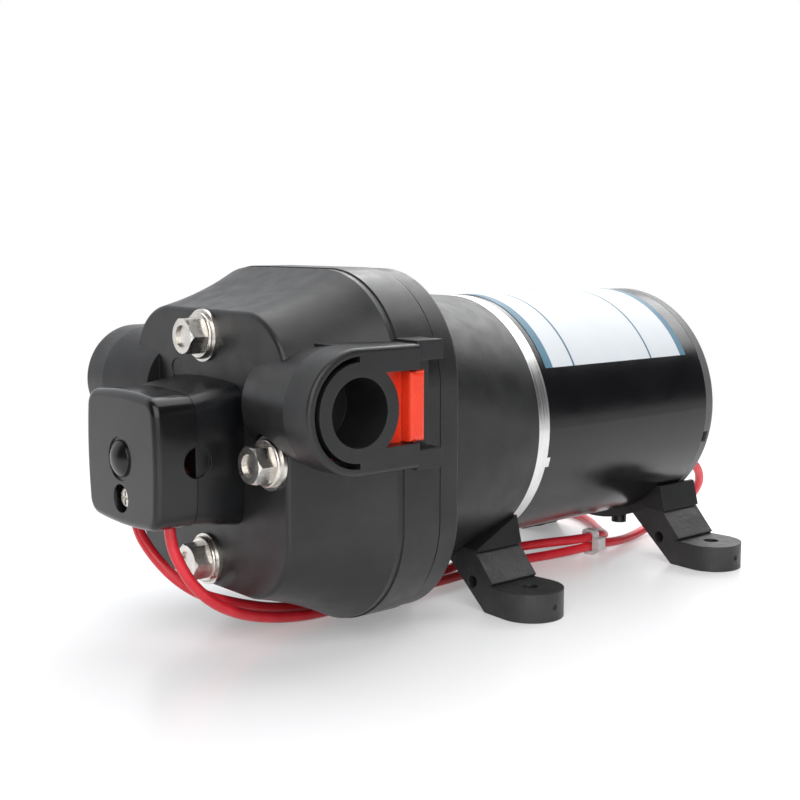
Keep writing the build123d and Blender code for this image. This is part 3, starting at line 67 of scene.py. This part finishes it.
# The two red leads, in millimetres as in the solid model
MILLIMETRE = 0.001
WIRE_RADIUS = 1.7
MOTOR_LEAD_ROUTE = [
    (10.0, -155.4, 41.5), (10.0, -155.4, 33.6), (12.2, -153.4, 26.4), (12.2, -149.0, 19.4),
    (11.6, -141.0, 12.3), (9.6, -129.5, 6.6), (8.9, -116.0, 3.2), (8.2, -102.0, 1.7),
    (6.4, -86.0, 1.7), (5.2, -66.0, 1.7), (4.7, -44.0, 1.7), (1.9, -24.0, 1.7),
    (1.6, -8.0, 1.7), (5.2, 7.0, 2.0), (8.6, 19.6, 3.0), (8.1, 33.0, 3.0),
    (7.2, 44.6, 2.0), (4.4, 56.0, 1.7), (1.8, 66.0, 2.2), (2.8, 76.0, 5.2),
    (8.0, 83.0, 11.2), (14.4, 84.4, 19.4), (18.2, 79.6, 27.0), (19.0, 71.0, 33.0), (19.0, 60.3, 33.0),
]
SUPPLY_LEAD_ROUTE = [
    (-9.4, -155.4, 41.5), (-9.4, -155.4, 34.6), (-3.6, -153.8, 27.4), (1.6, -149.6, 20.4),
    (5.0, -143.0, 14.8), (5.2, -134.0, 11.0), (2.6, -124.0, 7.2), (0.8, -113.0, 3.8), (-0.6, -101.0, 1.8),
    (0.2, -82.0, 1.7), (0.9, -62.0, 1.7), (-0.6, -43.0, 2.4),
    (-3.0, -25.0, 4.4), (-2.2, -8.0, 5.5), (3.0, 7.6, 6.2), (8.5, 19.6, 6.6), (8.0, 32.4, 6.6),
    (3.4, 40.6, 4.4), (-5.0, 48.4, 2.4), (-15.6, 57.0, 1.7), (-26.6, 65.0, 1.7), (-39.0, 69.4, 1.7),
    (-52.0, 69.8, 1.7), (-65.0, 66.0, 1.7), (-77.0, 57.0, 1.7), (-86.0, 45.0, 1.8),
    (-89.8, 30.5, 2.1), (-90.85, 17.0, 2.4), (-90.85, 4.4, 2.4),
]
COIL_START = (-90.85, 1.0, 2.4)
COIL_RADII = (22.8, 20.7, 18.6, 16.5, 14.4, 9.5)
COIL_POINTS_PER_HALF = 8
LEAD_SPLINE_ORDER = 3
LEAD_STEPS_PER_POINT = 8
LEAD_BEVEL_STEPS = 5

# Faces that meet at less than this angle, in degrees, shade as one smooth face
SMOOTH_BELOW = 28.0

# Values of a noise between which a finish goes from dark to light and from glossy to dull
NOISE_LOW = 0.3
NOISE_HIGH = 0.7
BEVEL_SAMPLES = 4

# Label bands, as shares of the label's length from its front edge, and their colours
LABEL_FRONT_BAND_SHARE = 0.045
LABEL_FRONT_LINE_SHARE = 0.183
LABEL_REAR_LINE_SHARE = 0.731
LABEL_REAR_BAND_SHARE = 0.955
LABEL_LINE_SHARE = 0.011
LABEL_WHITE = (0.67, 0.70, 0.73)
LABEL_TEAL = (0.09, 0.20, 0.28)
LABEL_LINE = (0.06, 0.15, 0.21)
LABEL_CLEAN = (1.0, 1.0, 1.0)
LABEL_TINGED = (0.965, 0.97, 0.98)

# The floor is lit and glows faintly, and turns clear for the camera between two distances, in metres
FLOOR_SIZE = 12.0
FLOOR_DROP = 0.0001
FLOOR_COLOUR = (0.80, 0.80, 0.81)
FLOOR_ROUGHNESS = 0.22
FLOOR_SPECULAR = 0.35
FLOOR_GLOW = 0.26
FLOOR_CLEAR_FROM = 0.22
FLOOR_CLEAR_BY = 0.42

# The room's light goes from dark to bright with the direction's share along its bright side
WORLD_BRIGHT_SIDE = (-0.98, 0.2, 0.0)
WORLD_DARK_SHARE = 0.15
WORLD_BRIGHT_SHARE = 0.55
WORLD_DARK = 0.06
WORLD_BACKDROP = 0.95
WORLD_TINT = (0.97, 0.98, 1.0)
WHITE = (1.0, 1.0, 1.0)

LAMP_TARGET = (0.0, -0.05, 0.06)

MATERIALS = {}


def rgba(colour):
    return (*colour, 1.0)


def metres(points):
    return [tuple(MILLIMETRE * value for value in point) for point in points]


# Small building blocks for materials

class Nodes:
    """A node tree, with short calls that make its nodes and wire them."""

    def __init__(self, tree):
        self.tree = tree

    def node(self, kind, **values):
        made = self.tree.nodes.new(kind)
        for name, value in values.items():
            setattr(made, name, value)
        return made

    def put(self, socket, value):
        """Links another node's output to a socket, or sets a plain value there."""
        if isinstance(value, bpy.types.NodeSocket):
            self.tree.links.new(value, socket)
        else:
            socket.default_value = value

    def feed(self, made, **inputs):
        """Fills the inputs that the names say, with _ where a name has a space."""
        for name, value in inputs.items():
            self.put(made.inputs[name.replace("_", " ")], value)
        return made

    def maths(self, operation, first, second):
        made = self.node("ShaderNodeMath", operation=operation)
        self.put(made.inputs[0], first)
        self.put(made.inputs[1], second)
        return made.outputs["Value"]

    def spread(self, value, low, high, start=NOISE_LOW, end=NOISE_HIGH, curve="LINEAR"):
        """Goes from low to high as the value goes from start to end."""
        made = self.node("ShaderNodeMapRange", interpolation_type=curve)
        self.feed(made, Value=value, From_Min=start, From_Max=end, To_Min=low, To_Max=high)
        return made.outputs["Result"]

    def mixed(self, share, first, second):
        made = self.node("ShaderNodeMixShader")
        self.put(made.inputs["Fac"], share)
        self.put(made.inputs[1], first)
        self.put(made.inputs[2], second)
        return made.outputs["Shader"]


class Shader(Nodes):
    """One material with a Principled shader, and calls for the nodes in front of it."""

    def __init__(self, name, colour, roughness, metallic=0.0, **sockets):
        self.name = name
        self.material = bpy.data.materials.new(name)
        self.material.use_nodes = True
        super().__init__(self.material.node_tree)
        self.shader = self.tree.nodes["Principled BSDF"]
        self.feed(self.shader, Base_Color=rgba(colour), Roughness=roughness, Metallic=metallic, **sockets)
        self.place = self.node("ShaderNodeTexCoord").outputs["Object"]

    def stretched(self, scale):
        made = self.feed(self.node("ShaderNodeMapping"), Vector=self.place, Scale=scale)
        return made.outputs["Vector"]

    def noise(self, size, detail=3.0, place=None):
        """Noise whose lumps are about this size, in metres."""
        made = self.feed(self.node("ShaderNodeTexNoise"), Vector=place or self.place, Scale=1.0 / size,
                         Detail=detail)
        return made.outputs["Fac"]

    def ramp(self, value, *stops):
        made = self.node("ShaderNodeValToRGB")
        elements = made.color_ramp.elements
        while len(elements) < len(stops):
            elements.new(1.0)
        for element, (position, colour) in zip(elements, stops):
            element.position = position
            element.color = rgba(colour)
        self.put(made.inputs["Fac"], value)
        return made.outputs["Color"]

    def mottle(self, size, dark, light):
        """Slow changes of colour."""
        colour = self.ramp(self.noise(size, detail=4.0), (NOISE_LOW, dark), (NOISE_HIGH, light))
        self.feed(self.shader, Base_Color=colour)

    def worn(self, size, low, high):
        """Slow changes of roughness."""
        self.feed(self.shader, Roughness=self.spread(self.noise(size, detail=4.0), low, high))

    def bumps(self, *layers, edge=0.0):
        """Bump layers of (value, depth in metres) on top of each other, over softened edges."""
        normal = None
        if edge:
            bevel = self.feed(self.node("ShaderNodeBevel", samples=BEVEL_SAMPLES), Radius=edge)
            normal = bevel.outputs["Normal"]
        for value, depth in layers:
            bump = self.feed(self.node("ShaderNodeBump"), Height=value, Distance=depth, Strength=1.0)
            if normal:
                self.put(bump.inputs["Normal"], normal)
            normal = bump.outputs["Normal"]
        self.feed(self.shader, Normal=normal)

    def keep(self):
        MATERIALS[self.name] = self.material


# Finishes, with sizes and depths in metres and roughness as (low, high)

def moulded(name, dark, light, rough, grain=0.00045, depth=0.00003):
    """Moulded plastic with a fine spark texture, slow changes of shade and a soft orange peel."""
    low, high = rough
    made = Shader(name, light, high)
    made.mottle(size=0.011, dark=dark, light=light)
    made.worn(size=0.006, low=low, high=high)
    fine = made.noise(size=grain, detail=2.0)
    peel = made.noise(size=0.0045, detail=2.0)
    made.bumps((peel, 0.00003), (fine, depth), edge=0.0004)
    made.keep()


def polished(name, dark, light, rough, depth=0.000004):
    """Smooth glossy plastic or paint with a faint waviness."""
    low, high = rough
    made = Shader(name, light, high)
    made.mottle(size=0.02, dark=dark, light=light)
    made.worn(size=0.009, low=low, high=high)
    waves = made.noise(size=0.006, detail=1.0)
    fine = made.noise(size=0.0006, detail=2.0)
    made.bumps((waves, 0.00003), (fine, depth), edge=0.0005)
    made.keep()


def rubber(name, dark, light):
    """Dull rubber with fine upright ribs from its mould."""
    made = Shader(name, light, 0.5)
    made.mottle(size=0.007, dark=dark, light=light)
    made.worn(size=0.004, low=0.36, high=0.5)
    ribs = made.noise(size=0.0007, detail=2.0, place=made.stretched((1.0, 1.0, 0.06)))
    lumps = made.noise(size=0.0035)
    made.bumps((lumps, 0.00010), (ribs, 0.00012), edge=0.0006)
    made.keep()


def metal(name, dark, light, rough, stretch=(1.0, 1.0, 1.0)):
    """Bare metal whose fine marks are stretched the way it was worked."""
    low, high = rough
    made = Shader(name, light, high, metallic=1.0)
    made.mottle(size=0.005, dark=dark, light=light)
    marks = made.noise(size=0.0008, place=made.stretched(stretch))
    made.feed(made.shader, Roughness=made.spread(marks, low, high))
    lumps = made.noise(size=0.004, detail=2.0)
    made.bumps((marks, 0.000004), (lumps, 0.00002), edge=0.0002)
    made.keep()


def rolled(name):
    """Rolled and pressed stainless steel: smooth, faintly warm, with slow changes of shade and gloss."""
    made = Shader(name, (0.72, 0.69, 0.65), 0.3, metallic=1.0)
    made.mottle(size=0.003, dark=(0.62, 0.59, 0.55), light=(0.78, 0.75, 0.71))
    made.worn(size=0.0025, low=0.22, high=0.38)
    made.bumps((made.noise(size=0.003, detail=2.0), 0.00006))
    made.keep()


def turned(name):
    """Aluminium turned on a lathe: rings about the motor axis, so the marks change along Y only."""
    made = Shader(name, (0.8, 0.8, 0.79), 0.3, metallic=1.0)
    made.mottle(size=0.012, dark=(0.7, 0.7, 0.69), light=(0.86, 0.86, 0.85))
    marks = made.noise(size=0.00035, place=made.stretched((0.01, 1.0, 0.01)))
    made.feed(made.shader, Roughness=made.spread(marks, 0.22, 0.42))
    made.bumps((marks, 0.00002), edge=0.0003)
    made.keep()


def insulation(name):
    """Soft red plastic round a lead, a little see-through at its surface."""
    made = Shader(name, (0.84, 0.024, 0.04), 0.36, Coat_Weight=0.3, Coat_Roughness=0.25,
                  Subsurface_Weight=0.06, Subsurface_Radius=(0.002, 0.0006, 0.0005))
    made.mottle(size=0.006, dark=(0.76, 0.016, 0.030), light=(0.90, 0.032, 0.052))
    made.worn(size=0.004, low=0.30, high=0.42)
    made.bumps((made.noise(size=0.0012, detail=2.0), 0.00004))
    made.keep()


def nylon(name):
    """Milky white nylon of the cable ties."""
    made = Shader(name, (0.86, 0.86, 0.84), 0.35, Transmission_Weight=0.2,
                  Subsurface_Weight=0.5, Subsurface_Radius=(0.004, 0.004, 0.004))
    made.mottle(size=0.002, dark=(0.88, 0.88, 0.86), light=(0.95, 0.95, 0.94))
    made.bumps((made.noise(size=0.0006, detail=2.0), 0.00003), edge=0.0003)
    made.keep()


def label_film(name):
    """White film with plain teal bands and lines across it, all bare of words."""
    label_low, label_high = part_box("motor_label")
    made = Shader(name, (0.9, 0.9, 0.9), 0.45, Specular_IOR_Level=0.3)
    split = made.feed(made.node("ShaderNodeSeparateXYZ"), Vector=made.place)
    along = made.spread(split.outputs["Y"], 0.0, 1.0, start=label_low.y, end=label_high.y)
    half_line = LABEL_LINE_SHARE / 2
    bands = made.ramp(
        along,
        (0.0, LABEL_TEAL),
        (LABEL_FRONT_BAND_SHARE, LABEL_WHITE),
        (LABEL_FRONT_LINE_SHARE - half_line, LABEL_LINE),
        (LABEL_FRONT_LINE_SHARE + half_line, LABEL_WHITE),
        (LABEL_REAR_LINE_SHARE - half_line, LABEL_LINE),
        (LABEL_REAR_LINE_SHARE + half_line, LABEL_WHITE),
        (LABEL_REAR_BAND_SHARE, LABEL_TEAL),
    )
    bands.node.color_ramp.interpolation = "CONSTANT"
    tint = made.ramp(made.noise(size=0.012), (NOISE_LOW, LABEL_TINGED), (NOISE_HIGH, LABEL_CLEAN))
    product = made.feed(made.node("ShaderNodeMix", data_type="RGBA", blend_type="MULTIPLY"), Factor=1.0)
    made.put(product.inputs["A"], bands)
    made.put(product.inputs["B"], tint)
    made.feed(made.shader, Base_Color=product.outputs["Result"])
    made.worn(size=0.01, low=0.40, high=0.52)
    made.bumps((made.noise(size=0.005, detail=2.0), 0.00002))
    made.keep()


def finishes():
    """Every finish, under the name of its slot in the record."""
    moulded("head_plastic", (0.010, 0.0102, 0.011), (0.016, 0.0163, 0.0175), rough=(0.32, 0.44))
    moulded("housing_plastic", (0.011, 0.0112, 0.012), (0.018, 0.0185, 0.0195), rough=(0.36, 0.48),
            grain=0.0006, depth=0.00004)
    moulded("switch_plastic", (0.003, 0.0032, 0.004), (0.006, 0.0063, 0.0075), rough=(0.26, 0.36),
            depth=0.00001)
    moulded("ferrite", (0.03, 0.03, 0.032), (0.06, 0.06, 0.06), rough=(0.5, 0.7))
    moulded("carbon", (0.02, 0.02, 0.02), (0.04, 0.04, 0.04), rough=(0.5, 0.7))
    moulded("phenolic", (0.14, 0.06, 0.025), (0.24, 0.11, 0.05), rough=(0.4, 0.6))
    moulded("acetal", (0.62, 0.61, 0.58), (0.75, 0.74, 0.71), rough=(0.35, 0.5))
    polished("cap_plastic", (0.004, 0.004, 0.0045), (0.008, 0.008, 0.0085), rough=(0.17, 0.26))
    polished("clip_plastic", (0.85, 0.035, 0.010), (0.95, 0.065, 0.022), rough=(0.22, 0.32))
    polished("motor_paint", (0.003, 0.003, 0.004), (0.006, 0.006, 0.007), rough=(0.18, 0.26), depth=0.00003)
    polished("cap_paint", (0.08, 0.08, 0.084), (0.11, 0.11, 0.115), rough=(0.36, 0.48))
    rubber("foot_rubber", (0.022, 0.022, 0.023), (0.036, 0.036, 0.037))
    rubber("valve_rubber", (0.01, 0.01, 0.01), (0.02, 0.02, 0.02))
    metal("zinc_steel", (0.45, 0.45, 0.44), (0.66, 0.66, 0.64), rough=(0.2, 0.4))
    metal("spring_steel", (0.4, 0.4, 0.4), (0.6, 0.6, 0.6), rough=(0.2, 0.35))
    metal("copper", (0.55, 0.24, 0.12), (0.80, 0.42, 0.26), rough=(0.2, 0.4))
    metal("core_steel", (0.2, 0.2, 0.2), (0.35, 0.35, 0.35), rough=(0.35, 0.5), stretch=(0.02, 1.0, 0.02))
    metal("shaft_steel", (0.45, 0.45, 0.45), (0.65, 0.65, 0.65), rough=(0.15, 0.3))
    metal("black_steel", (0.03, 0.03, 0.03), (0.05, 0.05, 0.05), rough=(0.3, 0.45))
    metal("bearing_steel", (0.55, 0.55, 0.55), (0.7, 0.7, 0.7), rough=(0.08, 0.2))
    rolled("stainless")
    turned("ring_aluminium")
    label_film("label_film")
    insulation("wire_red")
    nylon("tie_nylon")


def dress_frame():
    """Gives each solid-model node its finish and smooths its round faces."""
    slots = {part["node"]: part["material_slot"] for part in frame["record"]["subparts"]}
    for name, piece in nodes.items():
        mesh = piece.data
        mesh.materials.clear()
        mesh.materials.append(MATERIALS[slots[name]])
        mesh.polygons.foreach_set("use_smooth", [True] * len(mesh.polygons))
        mesh.set_sharp_from_angle(angle=math.radians(SMOOTH_BELOW))


# Leads

def lead_piece(name, points):
    """A round lead along one smooth spline."""
    curve = bpy.data.curves.new(name, "CURVE")
    curve.dimensions = "3D"
    curve.resolution_u = LEAD_STEPS_PER_POINT
    curve.bevel_depth = WIRE_RADIUS * MILLIMETRE
    curve.bevel_resolution = LEAD_BEVEL_STEPS
    curve.use_fill_caps = True
    spline = curve.splines.new("NURBS")
    spline.points.add(len(points) - 1)
    for point, place in zip(spline.points, points):
        point.co = (*place, 1.0)
    spline.order_u = LEAD_SPLINE_ORDER
    spline.use_endpoint_u = True
    piece = bpy.data.objects.new(name, curve)
    scene.collection.objects.link(piece)
    curve.materials.append(MATERIALS["wire_red"])
    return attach(piece, "housing")


def coil_points():
    """Control points of the coil's half turns, each smaller than the last.

    The spline passes a control point at six eighths of itself and one eighth of each neighbour, so the
    points are set out by that much and the line keeps the radii.
    """
    x, y, z = COIL_START
    step = math.pi / COIL_POINTS_PER_HALF
    outset = 8.0 / (6.0 + 2.0 * math.cos(step))
    points = []
    side = 1
    for radius in COIL_RADII:
        centre = x + side * radius
        reach = outset * radius
        first = math.pi if side > 0 else 0.0
        for index in range(COIL_POINTS_PER_HALF):
            angle = first + step * (index + 0.5)
            points.append((centre + reach * math.cos(angle), y + reach * math.sin(angle), z))
        x += 2 * side * radius
        side = -side
    return points + [(x, y, z), (x, y - 2 * WIRE_RADIUS, z)]


def leads():
    motor_points = metres(MOTOR_LEAD_ROUTE)
    motor = lead_piece("motor_lead_wire", motor_points)
    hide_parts("motor_lead")
    supply_points = metres(SUPPLY_LEAD_ROUTE + coil_points())
    supply = lead_piece("supply_lead_wire", supply_points)
    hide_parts("supply_lead", "supply_coil")


# Stage, light and camera

def floor():
    """A white table top that keeps the pump's shadow and a faint reflection, and thins out far off."""
    half = FLOOR_SIZE / 2
    mesh = bpy.data.meshes.new("floor")
    corners = [(-half, -half, 0), (half, -half, 0), (half, half, 0), (-half, half, 0)]
    mesh.from_pydata(corners, [], [range(len(corners))])
    plane = bpy.data.objects.new("floor", mesh)
    plane.location = (0.0, 0.0, -FLOOR_DROP)
    scene.collection.objects.link(plane)

    made = Shader("floor_white", FLOOR_COLOUR, FLOOR_ROUGHNESS, Specular_IOR_Level=FLOOR_SPECULAR)
    rays = made.node("ShaderNodeLightPath").outputs
    mirrored = made.maths("MAXIMUM", rays["Is Glossy Ray"], rays["Is Transmission Ray"])
    shown = made.maths("MAXIMUM", rays["Is Camera Ray"], mirrored)
    glow = made.feed(made.node("ShaderNodeEmission"), Strength=made.maths("MULTIPLY", shown, FLOOR_GLOW))
    surface = made.node("ShaderNodeAddShader")
    made.put(surface.inputs[0], made.shader.outputs["BSDF"])
    made.put(surface.inputs[1], glow.outputs["Emission"])
    distance = made.node("ShaderNodeVectorMath", operation="LENGTH")
    made.put(distance.inputs[0], made.place)
    far = made.spread(distance.outputs["Value"], 0.0, 1.0, start=FLOOR_CLEAR_FROM, end=FLOOR_CLEAR_BY)
    faded = made.maths("MULTIPLY", far, rays["Is Camera Ray"])
    clear = made.node("ShaderNodeBsdfTransparent")
    whole = made.mixed(faded, surface.outputs["Shader"], clear.outputs["BSDF"])
    made.feed(made.tree.nodes["Material Output"], Surface=whole)
    plane.data.materials.append(made.material)


def world():
    """White for the camera. For the light, a bright wall behind and to the left, and a darker room."""
    studio = bpy.data.worlds.new("studio")
    scene.world = studio
    studio.use_nodes = True
    made = Nodes(studio.node_tree)
    along = made.node("ShaderNodeVectorMath", operation="DOT_PRODUCT")
    made.put(along.inputs[0], made.node("ShaderNodeTexCoord").outputs["Generated"])
    made.put(along.inputs[1], WORLD_BRIGHT_SIDE)
    strength = made.spread(along.outputs["Value"], WORLD_DARK, WORLD_BACKDROP,
                           start=WORLD_DARK_SHARE, end=WORLD_BRIGHT_SHARE, curve="SMOOTHSTEP")
    room = made.feed(made.tree.nodes["Background"], Color=rgba(WORLD_TINT), Strength=strength)
    seen = made.feed(made.node("ShaderNodeBackground"), Color=rgba(WHITE))
    rays = made.node("ShaderNodeLightPath").outputs
    shown = made.maths("MAXIMUM", rays["Is Camera Ray"], rays["Is Transmission Ray"])
    whole = made.mixed(shown, room.outputs["Background"], seen.outputs["Background"])
    made.feed(made.tree.nodes["World Output"], Surface=whole)


def aimed(made, place, direction):
    """Puts a lamp or a camera at a place, looks along a direction and adds it to the scene."""
    made.location = place
    made.rotation_mode = "QUATERNION"
    made.rotation_quaternion = direction.to_track_quat("-Z", "Y")
    scene.collection.objects.link(made)


def softbox(name, place, width, height, power):
    light = bpy.data.lights.new(name, "AREA")
    light.shape = "RECTANGLE"
    light.size = width
    light.size_y = height
    light.energy = power
    aimed(bpy.data.objects.new(name, light), place, Vector(LAMP_TARGET) - Vector(place))


def lights():
    softbox("top_softbox", place=(-0.12, 0.3, 0.96), width=1.1, height=1.1, power=7.5)
    softbox("right_softbox", place=(0.95, -0.75, 0.78), width=1.5, height=1.5, power=18.0)
    softbox("rear_softbox", place=(-0.18, 0.75, 0.68), width=1.3, height=0.32, power=4.8)


def camera():
    data = bpy.data.cameras.new("photo_camera")
    data.sensor_width = SENSOR_WIDTH
    data.lens = SENSOR_WIDTH * CAMERA_FOCAL_SHARE
    data.clip_start = CAMERA_NEAR
    data.clip_end = CAMERA_FAR
    azimuth = math.radians(CAMERA_AZIMUTH)
    elevation = math.radians(CAMERA_ELEVATION)
    back = Vector((math.sin(azimuth) * math.cos(elevation), -math.cos(azimuth) * math.cos(elevation),
                   math.sin(elevation)))
    made = bpy.data.objects.new("photo_camera", data)
    aimed(made, CAMERA_PLACE, -back)
    scene.camera = made


finishes()
dress_frame()
leads()
floor()
world()
lights()
camera()
scene.view_settings.view_transform = "Standard"
